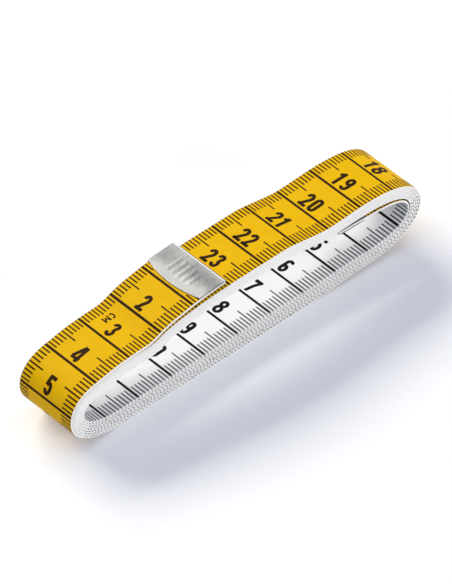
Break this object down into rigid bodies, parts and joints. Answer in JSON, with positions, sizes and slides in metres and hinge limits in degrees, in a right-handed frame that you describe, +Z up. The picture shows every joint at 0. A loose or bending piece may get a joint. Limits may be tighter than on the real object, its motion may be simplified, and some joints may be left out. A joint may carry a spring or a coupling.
{
  "type": "cloth tape measure",
  "caption": "Sewing tape measure of coated cloth, yellow outside and white inside, wound into a flat loop, with a folded metal clip on each end.",
  "frame": {"origin": "on the surface that the roll lies on, under the middle of the loop's length and of the tape's width", "axes": "+X along the loop, from the free outer end's side to the inner end's side; +Y across the tape, away from the viewer; +Z up"},
  "size_m": [0.1066, 0.0178, 0.0227],
  "materials": {
    "yellow_vinyl": "satin vinyl coating on cloth, printed with a black scale",
    "white_vinyl": "satin vinyl coating on cloth, printed with a black scale",
    "woven_glass": "woven glass-fibre ribbon, cut along both edges",
    "clip_metal": "bright plated sheet, lightly scratched",
    "scale_ink": "thin black print"
  },
  "bodies": {
    "roll": {"roll_yellow_face": "yellow_vinyl", "roll_woven_core": "woven_glass", "roll_white_face": "white_vinyl"},
    "outer_end": {"outer_end_yellow_face": "yellow_vinyl", "outer_end_woven_core": "woven_glass", "outer_end_white_face": "white_vinyl", "outer_clip": "clip_metal"},
    "inner_end": {"inner_end_yellow_face": "yellow_vinyl", "inner_end_woven_core": "woven_glass", "inner_end_white_face": "white_vinyl", "inner_clip": "clip_metal"}
  },
  "joints": [
    {"name": "outer_end_lift", "type": "hinge", "parent": "roll", "child": "outer_end", "pos_m": [-0.03574, 0, 0.01851], "axis": [0, -1, 0], "range_deg": [0, 70], "stiffness_Nm_per_rad": 0.008},
    {"name": "inner_end_bend", "type": "hinge", "parent": "roll", "child": "inner_end", "pos_m": [0.04358, 0, 0.01508], "axis": [0, -1, 0], "range_deg": [0, 30], "stiffness_Nm_per_rad": 0.008}
  ]
}
